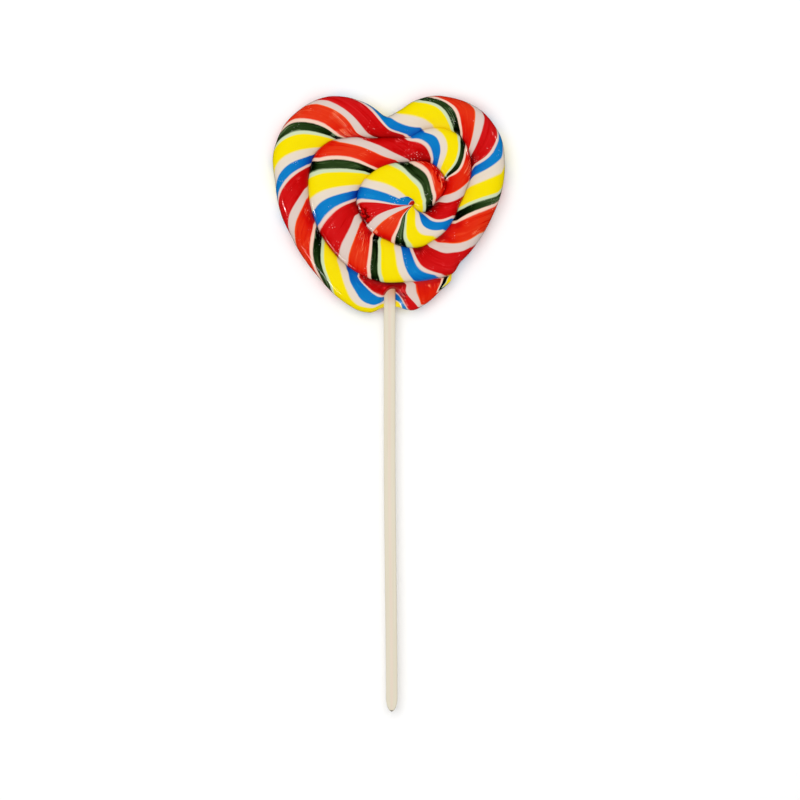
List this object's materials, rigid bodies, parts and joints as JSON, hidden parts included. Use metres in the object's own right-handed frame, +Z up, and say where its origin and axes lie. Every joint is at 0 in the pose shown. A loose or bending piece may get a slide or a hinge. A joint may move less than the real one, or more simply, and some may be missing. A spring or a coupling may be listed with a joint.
{
  "type": "heart-shaped swirl lollipop",
  "caption": "Heart-shaped swirl lollipop: a twisted, striped boiled-sugar rope coiled into a heart on a flat wooden stick, lying on its back.",
  "frame": {"origin": "middle of the bounding box, on the face the lollipop lies on", "axes": "+Y from the stick's free end towards the heart, +Z up out of the shown side, +X to the right of the shown side"},
  "size_m": [0.0754, 0.1998, 0.0106],
  "materials": {
    "boiled_sugar": "glossy boiled sugar in twisted stripes: red, orange-red, yellow, blue, dark green and pinkish cream",
    "pale_wood": "plain pale birch, sanded"
  },
  "bodies": {
    "root": {"candy": "boiled_sugar", "stick": "pale_wood"}
  },
  "joints": []
}
